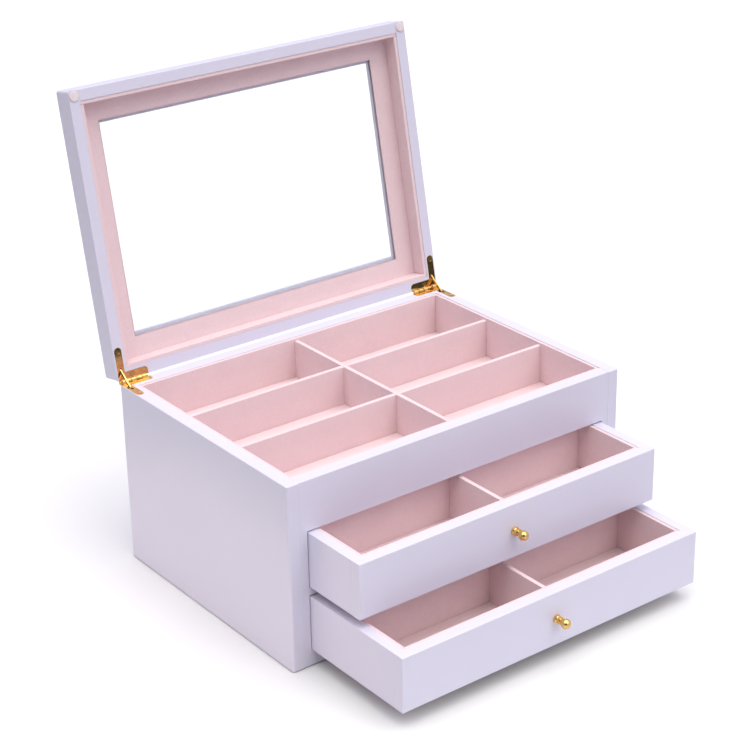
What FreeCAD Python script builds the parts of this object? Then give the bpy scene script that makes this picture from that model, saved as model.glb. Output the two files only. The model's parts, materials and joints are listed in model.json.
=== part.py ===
import FreeCAD, Part
import Sketcher
import os
import re

from FreeCAD import Placement, Rotation, Vector

# Jewelry box: a lacquered wooden case with a lined tray under a glass-topped lid, and two
# lined drawers below it.  Millimetres.  The origin is the centre of the base, +Z is up and
# the drawers face -Y.  The lid stands open and both drawers are partly pulled out.

SIZES = {
    # case
    "box_width": 339.0,
    "box_depth": 239.0,
    "box_height": 161.0,
    "wall_thickness": 11.0,
    "corner_radius": 2.2,
    "soft_edge": 0.8,
    "felt_thickness": 1.2,
    "felt_margin": 5.0,
    # drawer bays, upwards from the underside of the case
    "bottom_rail": 13.4,
    "opening_height": 48.8,
    "mid_rail": 7.0,
    "opening_width": 303.5,
    "guide_height": 24.0,
    # tray over the bays
    "deck_thickness": 4.0,
    "tray_floor_lining": 2.0,
    "tray_lining": 2.6,
    "lining_drop": 0.5,
    "divider_thickness": 3.8,
    "divider_drop": 2.5,
    # drawers
    "drawer_height": 47.4,
    "drawer_lift": 0.4,
    "drawer_side_gap": 0.5,
    "drawer_back_gap": 0.5,
    "drawer_front": 9.5,
    "drawer_wall": 9.0,
    "drawer_bottom": 2.5,
    "drawer_floor_lining": 1.0,
    "drawer_lining": 3.0,
    "upper_pull": 63.8,
    "lower_pull": 114.0,
    # knobs and their screws
    "knob_flange": 1.5,
    "knob_cove": 1.2,
    "knob_stem_radius": 2.5,
    "knob_ring_radius": 3.3,
    "knob_ring_place": 4.8,
    "knob_ring": 1.1,
    "knob_ball_radius": 4.2,
    "knob_ball_centre": 10.5,
    "knob_screw_radius": 1.5,
    "knob_screw_depth": 4.0,
    "knob_screw_head_radius": 3.0,
    "knob_screw_head": 2.0,
    # lid
    "lid_overhang": 0.4,
    "lid_front_overhang": 3.5,
    "lid_height": 22.0,
    "lid_wall": 9.5,
    "lid_top": 5.6,
    "lid_round": 2.5,
    "lid_lining": 3.0,
    "lid_angle": 100.8,
    "rim_gap": 1.1,
    "mat_thickness": 1.2,
    "window_width": 277.0,
    "window_depth": 177.6,
    "mat_reveal": 2.4,
    "glass_thickness": 2.0,
    "glass_lap": 4.0,
    "bumper_radius": 4.3,
    "bumper_height": 0.8,
    # hinges
    "axis_setback": 1.1,
    "leaf_inset": 0.6,
    "leaf_thickness": 1.5,
    "arm_width": 6.8,
    "arm_length": 28.5,
    "knuckle_radius": 1.9,
    "knuckle_pitch": 5.3,
    "knuckle_gap": 0.5,
    "barrel_clearance": 0.3,
    "web_reach": 3.0,
    "pin_radius": 0.9,
    "pin_bore_radius": 0.95,
    "back_screw_place": 13.8,
    "screw_head_radius": 2.0,
    "screw_head": 1.2,
    "screw_head_gap": 0.25,
    "screw_radius": 1.0,
    "screw_length": 8.0,
    "screw_cross_width": 0.5,
    "screw_cross_length": 2.4,
    "screw_cross_depth": 0.5,
    # stays
    "stay_pivot_reach": 10.5,
    "stay_pivot_rise": 1.9,
    "stay_pin_radius": 0.6,
    "stay_pin_length": 5.0,
    "stay_bore_radius": 0.65,
    "stay_length": 18.5,
    "stay_width": 2.2,
    "stay_thickness": 1.2,
    "stay_angle": 36.0,
    "stay_slot_width": 2.0,
    "case_slot_near": 8.1,
    "case_slot_far": 16.1,
    "case_slot_depth": 17.8,
    "lid_slot_near": 7.0,
    "lid_slot_far": 12.0,
    "lid_slot_depth": 2.9,
}

# Formulas in the names of the sheet.
HALF_WIDTH = "(box_width / 2)"
HALF_DEPTH = "(box_depth / 2)"
INNER_WIDTH = "(box_width - 2 * wall_thickness)"
INNER_DEPTH = "(box_depth - 2 * wall_thickness)"
LOWER_BAY = "(felt_thickness + bottom_rail)"
UPPER_BAY = f"({LOWER_BAY} + opening_height + mid_rail)"
DECK = f"({UPPER_BAY} + opening_height)"
TRAY = f"({DECK} + deck_thickness + tray_floor_lining)"
RIM = "(felt_thickness + box_height)"
LID_RIM = f"({RIM} + rim_gap)"
LID_TOP = f"({LID_RIM} + lid_height - lid_top)"
LID_WIDTH = "(box_width + 2 * lid_overhang)"
LID_DEPTH = "(box_depth + lid_front_overhang)"
LID_MIDDLE = "(-lid_front_overhang / 2)"
LID_INNER_WIDTH = f"({LID_WIDTH} - 2 * lid_wall)"
LID_INNER_DEPTH = f"({LID_DEPTH} - 2 * lid_wall)"
AXIS_Y = f"({HALF_DEPTH} + axis_setback)"
AXIS_Z = f"({RIM} + rim_gap / 2)"
ARM_X = f"({HALF_WIDTH} - leaf_inset - arm_width / 2)"
DRAWER_WIDTH = "(opening_width - 2 * drawer_side_gap)"
DRAWER_LENGTH = "(box_depth - wall_thickness - drawer_back_gap)"

SIDES = {"left": -1, "right": 1}
KNUCKLES = 5
ALONG_X = Rotation(Vector(0, 1, 0), 90)
FORWARDS = Rotation(Vector(1, 0, 0), 90)
UPWARDS = Rotation(Vector(1, 0, 0), 180)
UNTURNED = Rotation()

DOC = FreeCAD.newDocument("JewelryBox")
NODES = []


def fill_sheet():
    """Write every driving size to the sheet, with its name as the cell's alias."""
    sheet = DOC.addObject("Spreadsheet::Sheet", "Sizes")
    for row, (name, size) in enumerate(SIZES.items(), start=1):
        sheet.set(f"A{row}", name)
        sheet.set(f"B{row}", str(size))
        sheet.setAlias(f"B{row}", name)
    DOC.recompute()


def bind(item, prop, formula):
    """Tie a property to a formula; every sheet name has an underscore in it."""
    item.setExpression(prop, re.sub(r"([a-z]+(?:_[a-z]+)+)", r"Sizes.\1", formula))


def bind_base(item, x, y, z):
    for axis, formula in zip("xyz", (x, y, z)):
        bind(item, ".Placement.Base." + axis, formula)


# ---------------------------------------------------------------- bodies and their features

def new_body(label):
    body = DOC.addObject("PartDesign::Body", label)
    body.Label = label
    return body


def add(body, kind, at, turn=UNTURNED, **sizes):
    """Add a PartDesign primitive at a place given by three formulas."""
    item = body.newObject("PartDesign::" + kind, body.Name + "_" + kind)
    item.Placement = Placement(Vector(), turn)
    bind_base(item, *at)
    for prop, formula in sizes.items():
        bind(item, prop, formula)
    return item


def add_block(body, kind, middle_x, middle_y, bottom, width, depth, height):
    """Add or cut a box, placed by the middle of its underside."""
    corner = (f"{middle_x} - {width} / 2", f"{middle_y} - {depth} / 2", bottom)
    return add(body, kind + "Box", corner, Length=width, Width=depth, Height=height)


def block(label, *shape):
    body = new_body(label)
    add_block(body, "Additive", *shape)
    return body


def node(item):
    """Count an object as one piece of the box."""
    NODES.append(item)
    return item


def group(label, members):
    """Put like pieces into one node, each still a solid of its own."""
    compound = DOC.addObject("Part::Compound", label)
    compound.Label = label
    compound.Links = members
    return compound


def round_edges(body, radius, chosen):
    """Round the edges of the body's last feature that the test chooses."""
    DOC.recompute()
    base = body.Tip
    names = [f"Edge{i}" for i, edge in enumerate(base.Shape.Edges, start=1) if chosen(edge)]
    fillet = body.newObject("PartDesign::Fillet", body.Name + "_Fillet")
    fillet.Base = (base, names)
    bind(fillet, "Radius", radius)
    DOC.recompute()
    return fillet


def upright_at(x, y):
    """A test for an upright edge at a place in plan."""
    def chosen(edge):
        box = edge.BoundBox
        return box.ZLength > 1 and abs(box.XMin - x) < 0.01 and abs(box.YMin - y) < 0.01 \
            and box.XLength < 0.01 and box.YLength < 0.01
    return chosen


def at_level(z, outside):
    """A test for a level edge at a height, whose middle passes a second test."""
    def chosen(edge):
        box = edge.BoundBox
        return box.ZLength < 0.01 and abs(box.ZMin - z) < 0.01 and outside(edge.CenterOfMass)
    return chosen


def sketch_on(body, role, lift):
    """A sketch on one of the body's own origin planes, lifted along its normal."""
    sketch = body.newObject("Sketcher::SketchObject", body.Name + "_Sketch")
    plane = next(item for item in body.Origin.OriginFeatures if item.Role == role)
    sketch.AttachmentSupport = [(plane, "")]
    sketch.MapMode = "FlatFace"
    bind(sketch, ".AttachmentOffset.Base.z", lift)
    return sketch


def size_constraint(sketch, formula, *constraint):
    index = sketch.addConstraint(Sketcher.Constraint(*constraint))
    bind(sketch, f"Constraints[{index}]", formula)


def draw_rectangle(sketch, middle_x, middle_y, width, height):
    """A rectangle with its middle and its two sizes tied to the sheet."""
    corners = [Vector(1, 1), Vector(2, 1), Vector(2, 2), Vector(1, 2)]
    first = sketch.GeometryCount
    for start, end in zip(corners, corners[1:] + corners[:1]):
        sketch.addGeometry(Part.LineSegment(start, end))
    for side in range(4):
        following = first + (side + 1) % 4
        sketch.addConstraint(Sketcher.Constraint("Coincident", first + side, 2, following, 1))
        level = "Horizontal" if side % 2 == 0 else "Vertical"
        sketch.addConstraint(Sketcher.Constraint(level, first + side))
    size_constraint(sketch, f"{middle_x} - {width} / 2", "DistanceX", -1, 1, first, 1, 1.0)
    size_constraint(sketch, f"{middle_y} - {height} / 2", "DistanceY", -1, 1, first, 1, 1.0)
    size_constraint(sketch, width, "DistanceX", first, 1, first, 2, 1.0)
    size_constraint(sketch, height, "DistanceY", first + 1, 1, first + 1, 2, 1.0)


def pad(body, sketch, length):
    item = body.newObject("PartDesign::Pad", body.Name + "_Pad")
    item.Profile = sketch
    bind(item, "Length", length)
    return item


# ---------------------------------------------------------------- places of what moves

def ride_lid(item):
    """Turn a piece drawn with the lid shut to where the open lid carries it."""
    item.Placement = Placement(Vector(), Rotation(Vector(-1, 0, 0), SIZES["lid_angle"]))
    bind(item, ".Placement.Rotation.Angle", "lid_angle")
    bind(item, ".Placement.Base.y",
         f"{AXIS_Y} - {AXIS_Y} * cos(lid_angle) - {AXIS_Z} * sin(lid_angle)")
    bind(item, ".Placement.Base.z",
         f"{AXIS_Z} + {AXIS_Y} * sin(lid_angle) - {AXIS_Z} * cos(lid_angle)")
    return node(item)


def ride_drawer(item, name):
    """Move a piece drawn with its drawer shut to where the pulled drawer carries it."""
    bind(item, ".Placement.Base.y", f"-{name}_pull")
    return node(item)


# ---------------------------------------------------------------- linings and dividers

def wall_linings(name, middle_y, width, depth, bottom, height, thickness):
    """Four boards just inside a space: front and back ones full width, side ones between."""
    boards = {}
    for side, sign in (("front", -1), ("back", 1)):
        place = f"({middle_y} + {sign} * ({depth} - {thickness}) / 2)"
        boards[side] = block(f"{name}_{side}_lining", "0", place, bottom, width, thickness, height)
    for side, sign in SIDES.items():
        place = f"({sign} * ({width} - {thickness}) / 2)"
        between = f"({depth} - 2 * {thickness})"
        boards[side] = block(f"{name}_{side}_lining", place, middle_y, bottom,
                             thickness, between, height)
    return boards


def dividers(name, middle_y, width, depth, bottom, height):
    """A long divider and two cross dividers, half-lapped, that leave six equal compartments."""
    half = f"({height} / 2)"
    step = f"(({depth} + divider_thickness) / 6)"
    long_divider = block(f"{name}_long_divider", "0", middle_y, bottom,
                         "divider_thickness", depth, height)
    cross = []
    for side, sign in (("front", -1), ("back", 1)):
        place = f"({middle_y} + {sign} * {step})"
        add_block(long_divider, "Subtractive", "0", place, f"{bottom} + {half}",
                  "divider_thickness", "divider_thickness", half)
        crossing = block(f"{name}_{side}_cross_divider", "0", place, bottom,
                         width, "divider_thickness", height)
        add_block(crossing, "Subtractive", "0", place, bottom,
                  "divider_thickness", "divider_thickness", half)
        cross.append(crossing)
    return long_divider, cross


# ---------------------------------------------------------------- hinge parts

def leaf_outline(body, kind, sign, bottom):
    """Two round-ended arms that meet at a back corner, squared off along the hinge barrel."""
    tip = f"({HALF_DEPTH} - arm_length + arm_width / 2)"
    inner_tip = f"({sign} * ({HALF_WIDTH} - leaf_inset - arm_length + arm_width / 2))"
    straight = "(arm_length - arm_width / 2)"
    middle = f"({HALF_DEPTH} - {straight} / 2)"
    side_x = f"({sign} * {ARM_X})"
    back_x = f"({sign} * ({HALF_WIDTH} - leaf_inset - {straight} / 2))"
    back_y = f"({HALF_DEPTH} - arm_width / 2)"
    add_block(body, kind, side_x, middle, bottom, "arm_width", straight, "leaf_thickness")
    add_block(body, kind, back_x, back_y, bottom, straight, "arm_width", "leaf_thickness")
    add_block(body, kind, f"({sign} * ({HALF_WIDTH} - leaf_inset - arm_length / 2))",
              f"({HALF_DEPTH} - arm_width / 4)", bottom, "arm_length", "(arm_width / 2)",
              "leaf_thickness")
    for place in ((side_x, tip, bottom), (inner_tip, back_y, bottom)):
        add(body, kind + "Cylinder", place, Radius="arm_width / 2", Height="leaf_thickness")


def screw_places(sign):
    """Where a leaf's two screws go in plan: the side arm's tip and along the back arm."""
    side_screw = (f"{sign} * {ARM_X}", f"{HALF_DEPTH} - arm_length + arm_width / 2")
    back_screw = (f"{sign} * ({HALF_WIDTH} - leaf_inset - back_screw_place)",
                  f"{HALF_DEPTH} - arm_width / 2")
    return side_screw, back_screw


def screw_shape(body, kind, place, level, turn, head_radius="screw_head_radius"):
    """A countersunk head and its shank, down from a level or up from it."""
    way = 1 if turn is UPWARDS else -1
    head_end = f"{level} + {way} * screw_head"
    tip = f"{level} + {way} * screw_length"
    add(body, kind + "Cone", (*place, head_end), turn,
        Radius1="screw_radius", Radius2=head_radius, Height="screw_head")
    add(body, kind + "Cylinder", (*place, tip), turn,
        Radius="screw_radius", Height="screw_length - screw_head / 2")


def screws(label, level, turn):
    """The four screws of two leaves, with cross slots."""
    members = []
    way = 0 if turn is UPWARDS else -1
    for side, sign in SIDES.items():
        for number, place in enumerate(screw_places(sign), start=1):
            body = new_body(f"{label}_{side}_{number}")
            screw_shape(body, "Additive", place, level, turn)
            bottom = f"{level} + {way} * screw_cross_depth"
            add_block(body, "Subtractive", *place, bottom,
                      "screw_cross_length", "screw_cross_width", "screw_cross_depth")
            add_block(body, "Subtractive", *place, bottom,
                      "screw_cross_width", "screw_cross_length", "screw_cross_depth")
            members.append(body)
    return group(label, members)


def drill(body, place, level, turn):
    """A hole for one screw in the wood under a leaf."""
    way = 1 if turn is UPWARDS else -1
    add(body, "SubtractiveCylinder", (*place, f"{level} + {way} * screw_length"), turn,
        Radius="screw_radius", Height="screw_length - screw_head / 2")


def stay_slot(body, sign, width, near, far, bottom, height):
    """A slot for a stay, between two distances in front of the hinge axis."""
    add_block(body, "Subtractive", f"({sign} * {ARM_X})", f"({AXIS_Y} - ({near} + {far}) / 2)",
              bottom, width, f"({far} - {near})", height)


def barrel_start(sign):
    """The end of the hinge barrel that lies further left."""
    outer = f"({HALF_WIDTH} - leaf_inset)"
    return f"(-{outer})" if sign < 0 else f"({outer} - {KNUCKLES} * knuckle_pitch)"


def barrel_shape(body, kind, sign, radius):
    """A cylinder on the hinge axis, as long as the barrel."""
    add(body, kind + "Cylinder", (barrel_start(sign), AXIS_Y, AXIS_Z), ALONG_X,
        Radius=radius, Height=f"{KNUCKLES} * knuckle_pitch")


def leaf(label, sign, level, turn, knuckles):
    """A hinge leaf: two arms, its knuckles on the axis, screw holes and the stay's slot."""
    bottom = f"({level} - leaf_thickness)" if turn is UNTURNED else level
    body = new_body(label)
    leaf_outline(body, "Additive", sign, bottom)
    barrel_shape(body, "Subtractive", sign, "knuckle_radius + barrel_clearance")
    for number in knuckles:
        middle = f"({barrel_start(sign)} + {number + 0.5} * knuckle_pitch)"
        length = "(knuckle_pitch - knuckle_gap)"
        add_block(body, "Additive", middle, f"({AXIS_Y} - web_reach / 2)", bottom, length,
                  "web_reach", "leaf_thickness")
        add(body, "AdditiveCylinder", (f"{middle} - {length} / 2", AXIS_Y, AXIS_Z), ALONG_X,
            Radius="knuckle_radius", Height=length)
    barrel_shape(body, "Subtractive", sign, "pin_bore_radius")
    for place in screw_places(sign):
        screw_shape(body, "Subtractive", place, level, turn, "screw_head_radius + screw_head_gap")
    if turn is UNTURNED:
        stay_slot(body, sign, "stay_slot_width", "case_slot_near", "case_slot_far",
                  bottom, "leaf_thickness")
    else:
        stay_slot(body, sign, "stay_slot_width", "lid_slot_near", "lid_slot_far",
                  bottom, "leaf_thickness")
        stay_pin_shape(body, "Subtractive", sign)
    return body


def stay_pin_shape(body, kind, sign):
    """The rivet that a stay turns on, across its slot in the lid."""
    place = (f"{sign} * {ARM_X} - stay_pin_length / 2", f"{AXIS_Y} - stay_pivot_reach",
             f"{AXIS_Z} + stay_pivot_rise")
    add(body, kind + "Cylinder", place, ALONG_X, Radius="stay_pin_radius", Height="stay_pin_length")


# ---------------------------------------------------------------- the case

def make_case():
    for side, sign in SIDES.items():
        panel = block(f"{side}_side_panel", f"({sign} * ({HALF_WIDTH} - wall_thickness / 2))", "0",
                      "felt_thickness", "wall_thickness", "box_depth", "box_height")
        outer_x = sign * SIZES["box_width"] / 2
        for end in (-1, 1):
            round_edges(panel, "corner_radius", upright_at(outer_x, end * SIZES["box_depth"] / 2))
        top = SIZES["felt_thickness"] + SIZES["box_height"]
        inner_x = SIZES["box_width"] / 2 - SIZES["wall_thickness"]
        round_edges(panel, "soft_edge",
                    at_level(top, lambda place: abs(place.x) > inner_x + SIZES["wall_thickness"] / 2))
        leaf_outline(panel, "Subtractive", sign, f"({RIM} - leaf_thickness)")
        drill(panel, screw_places(sign)[0], RIM, UNTURNED)
        stay_slot(panel, sign, "(stay_slot_width + 0.4)", "case_slot_near", "case_slot_far",
                  f"({RIM} - case_slot_depth)", "case_slot_depth")
        node(panel)

    back = block("back_panel", "0", f"({HALF_DEPTH} - wall_thickness / 2)", "felt_thickness",
                 INNER_WIDTH, "wall_thickness", "box_height")
    for sign in SIDES.values():
        leaf_outline(back, "Subtractive", sign, f"({RIM} - leaf_thickness)")
        drill(back, screw_places(sign)[1], RIM, UNTURNED)
    node(back)

    frame = new_body("front_frame")
    sketch = sketch_on(frame, "XZ_Plane", f"{HALF_DEPTH} - wall_thickness")
    draw_rectangle(sketch, "0", "(felt_thickness + box_height / 2)", INNER_WIDTH, "box_height")
    for bay in (LOWER_BAY, UPPER_BAY):
        draw_rectangle(sketch, "0", f"({bay} + opening_height / 2)", "opening_width", "opening_height")
    pad(frame, sketch, "wall_thickness")
    node(frame)

    node(block("base_panel", "0", "0", "felt_thickness", INNER_WIDTH, INNER_DEPTH, "bottom_rail"))
    node(block("middle_shelf", "0", "0", f"{LOWER_BAY} + opening_height",
               INNER_WIDTH, INNER_DEPTH, "mid_rail"))
    node(block("tray_deck", "0", "0", DECK, INNER_WIDTH, INNER_DEPTH, "deck_thickness"))
    node(block("base_felt", "0", "0", "0", "(box_width - 2 * felt_margin)",
               "(box_depth - 2 * felt_margin)", "felt_thickness"))

    guides = []
    guide = f"(({INNER_WIDTH} - opening_width) / 2)"
    for name, bay in (("lower", LOWER_BAY), ("upper", UPPER_BAY)):
        for side, sign in SIDES.items():
            guides.append(block(f"{name}_{side}_guide", f"({sign} * (opening_width + {guide}) / 2)",
                                "0", bay, guide, INNER_DEPTH, "guide_height"))
    node(group("drawer_guides", guides))


def make_tray():
    node(block("tray_floor_lining", "0", "0", f"{DECK} + deck_thickness",
               INNER_WIDTH, INNER_DEPTH, "tray_floor_lining"))
    boards = wall_linings("tray", "0", INNER_WIDTH, INNER_DEPTH, TRAY,
                          f"({RIM} - {TRAY} - lining_drop)", "tray_lining")
    for board in boards.values():
        node(board)
    long_divider, cross = dividers("tray", "0", f"({INNER_WIDTH} - 2 * tray_lining)",
                                   f"({INNER_DEPTH} - 2 * tray_lining)", TRAY,
                                   f"({RIM} - {TRAY} - divider_drop)")
    for piece in (long_divider, *cross):
        node(piece)


# ---------------------------------------------------------------- a drawer

def knob(label, level):
    """A turned knob: flange, cove, ringed stem and ball, with a blind hole for its screw."""
    body = new_body(label)
    sketch = sketch_on(body, "XY_Plane", "0")
    hole = SIZES["knob_screw_radius"]
    hole_end = -SIZES["knob_screw_depth"]
    stem = SIZES["knob_stem_radius"]
    base = stem + SIZES["knob_cove"]
    flange = -SIZES["knob_flange"]
    cove_end = flange - SIZES["knob_cove"]
    ball = SIZES["knob_ball_radius"]
    centre = -SIZES["knob_ball_centre"]
    neck = centre + (ball ** 2 - stem ** 2) ** 0.5
    tip = centre - ball

    points = [(hole, 0), (base, 0), (base, flange), (stem, cove_end), (stem, neck),
              (0, tip), (0, hole_end), (hole, hole_end)]
    points = [Vector(*point) for point in points]
    slant = 0.5 ** 0.5
    cove_middle = Vector(base - SIZES["knob_cove"] * slant, cove_end + SIZES["knob_cove"] * slant)
    ball_middle = Vector(ball, centre)
    lines = [(0, 1), (1, 2), (3, 4), (5, 6), (6, 7), (7, 0)]
    for start, end in lines:
        sketch.addGeometry(Part.LineSegment(points[start], points[end]))
    sketch.addGeometry(Part.Arc(points[2], cove_middle, points[3]))
    sketch.addGeometry(Part.Arc(points[4], ball_middle, points[5]))
    foot, edge, neck_line, axis, hole_floor, hole_wall, cove_arc, ball_arc = range(8)

    for line in (foot, hole_floor):
        sketch.addConstraint(Sketcher.Constraint("Horizontal", line))
    for line in (edge, neck_line, axis, hole_wall):
        sketch.addConstraint(Sketcher.Constraint("Vertical", line))
    joins = [(foot, 2, edge, 1), (axis, 2, hole_floor, 1), (hole_floor, 2, hole_wall, 1),
             (hole_wall, 2, foot, 1)]
    for join in joins:
        sketch.addConstraint(Sketcher.Constraint("Coincident", *join))
    for line, line_end, arc in ((edge, 2, cove_arc), (neck_line, 1, cove_arc),
                                (neck_line, 2, ball_arc), (axis, 1, ball_arc)):
        point = sketch.getPoint(line, line_end)
        arc_end = 1 if point.distanceToPoint(sketch.getPoint(arc, 1)) < 0.01 else 2
        sketch.addConstraint(Sketcher.Constraint("Coincident", line, line_end, arc, arc_end))
    sketch.addConstraint(Sketcher.Constraint("PointOnObject", foot, 1, -1))
    sketch.addConstraint(Sketcher.Constraint("PointOnObject", axis, 1, -2))
    sketch.addConstraint(Sketcher.Constraint("PointOnObject", ball_arc, 3, -2))
    sketch.addConstraint(Sketcher.Constraint("Vertical", edge, 2, cove_arc, 3))
    sketch.addConstraint(Sketcher.Constraint("Horizontal", neck_line, 1, cove_arc, 3))
    size_constraint(sketch, "knob_screw_radius", "DistanceX", -1, 1, foot, 1, hole)
    size_constraint(sketch, "knob_stem_radius", "DistanceX", -1, 1, neck_line, 1, stem)
    size_constraint(sketch, "-knob_flange", "DistanceY", -1, 1, edge, 2, flange)
    size_constraint(sketch, "-knob_screw_depth", "DistanceY", -1, 1, axis, 2, hole_end)
    size_constraint(sketch, "-knob_ball_centre", "DistanceY", -1, 1, ball_arc, 3, centre)
    size_constraint(sketch, "knob_cove", "Radius", cove_arc, SIZES["knob_cove"])
    size_constraint(sketch, "knob_ball_radius", "Radius", ball_arc, ball)

    turned = body.newObject("PartDesign::Revolution", label + "_Revolution")
    turned.Profile = sketch
    turned.ReferenceAxis = (sketch, ["V_Axis"])
    turned.Angle = 360
    bind(sketch, ".AttachmentOffset.Base.y", f"-{HALF_DEPTH}")
    bind(sketch, ".AttachmentOffset.Base.z", level)
    add(body, "AdditiveCylinder", ("0", f"-{HALF_DEPTH} - knob_ring_place + knob_ring / 2", level),
        FORWARDS, Radius="knob_ring_radius", Height="knob_ring")
    return body


def knob_screw(label, level):
    """A pan-head screw from inside the drawer's front into the knob."""
    body = new_body(label)
    inside = f"(-{HALF_DEPTH} + drawer_front)"
    add(body, "AdditiveCylinder", ("0", inside, level), FORWARDS,
        Radius="knob_screw_head_radius", Height="knob_screw_head")
    add(body, "AdditiveCylinder", ("0", inside, level), FORWARDS,
        Radius="knob_screw_radius", Height="drawer_front + knob_screw_depth")
    return body


def make_drawer(name, bay):
    bottom = f"({bay} + drawer_lift)"
    knob_level = f"({bottom} + drawer_height / 2)"
    behind_front = f"({DRAWER_LENGTH} - drawer_front)"
    inner_width = f"({DRAWER_WIDTH} - 2 * drawer_wall)"
    inner_depth = f"({behind_front} - drawer_wall)"
    inner_middle = f"(-{HALF_DEPTH} + drawer_front + {inner_depth} / 2)"
    floor = f"({bottom} + drawer_bottom + drawer_floor_lining)"
    above_floor = "(drawer_height - drawer_bottom - drawer_floor_lining)"

    front = block(f"{name}_drawer_front", "0", f"(-{HALF_DEPTH} + drawer_front / 2)", bottom,
                  DRAWER_WIDTH, "drawer_front", "drawer_height")
    face_y = -SIZES["box_depth"] / 2
    round_edges(front, "soft_edge", lambda edge: abs(edge.BoundBox.YMax - face_y) < 0.01)
    inside = f"(-{HALF_DEPTH} + drawer_front)"
    add(front, "SubtractiveCylinder", ("0", inside, knob_level), FORWARDS,
        Radius="knob_screw_radius", Height="drawer_front")
    add(front, "SubtractiveCylinder", ("0", inside, knob_level), FORWARDS,
        Radius="knob_screw_head_radius", Height="knob_screw_head")
    ride_drawer(front, name)

    for side, sign in SIDES.items():
        panel = block(f"{name}_drawer_{side}_side",
                      f"({sign} * ({DRAWER_WIDTH} - drawer_wall) / 2)",
                      f"(-{HALF_DEPTH} + drawer_front + {behind_front} / 2)", bottom,
                      "drawer_wall", behind_front, "drawer_height")
        ride_drawer(panel, name)
    back = block(f"{name}_drawer_back", "0",
                 f"(-{HALF_DEPTH} + {DRAWER_LENGTH} - drawer_wall / 2)", bottom,
                 inner_width, "drawer_wall", "drawer_height")
    ride_drawer(back, name)
    board = block(f"{name}_drawer_bottom", "0", inner_middle, bottom,
                  inner_width, inner_depth, "drawer_bottom")
    ride_drawer(board, name)
    lining = block(f"{name}_drawer_floor_lining", "0", inner_middle, f"{bottom} + drawer_bottom",
                   inner_width, inner_depth, "drawer_floor_lining")
    ride_drawer(lining, name)

    boards = wall_linings(f"{name}_drawer", inner_middle, inner_width, inner_depth, floor,
                          f"({above_floor} - lining_drop)", "drawer_lining")
    ride_drawer(group(f"{name}_drawer_wall_linings", list(boards.values())), name)
    long_divider, cross = dividers(f"{name}_drawer", inner_middle,
                                   f"({inner_width} - 2 * drawer_lining)",
                                   f"({inner_depth} - 2 * drawer_lining)", floor,
                                   f"({above_floor} - divider_drop)")
    ride_drawer(long_divider, name)
    ride_drawer(group(f"{name}_drawer_cross_dividers", cross), name)
    ride_drawer(knob(f"{name}_drawer_knob", knob_level), name)
    ride_drawer(knob_screw(f"{name}_drawer_knob_screw", knob_level), name)


# ---------------------------------------------------------------- the lid

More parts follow.
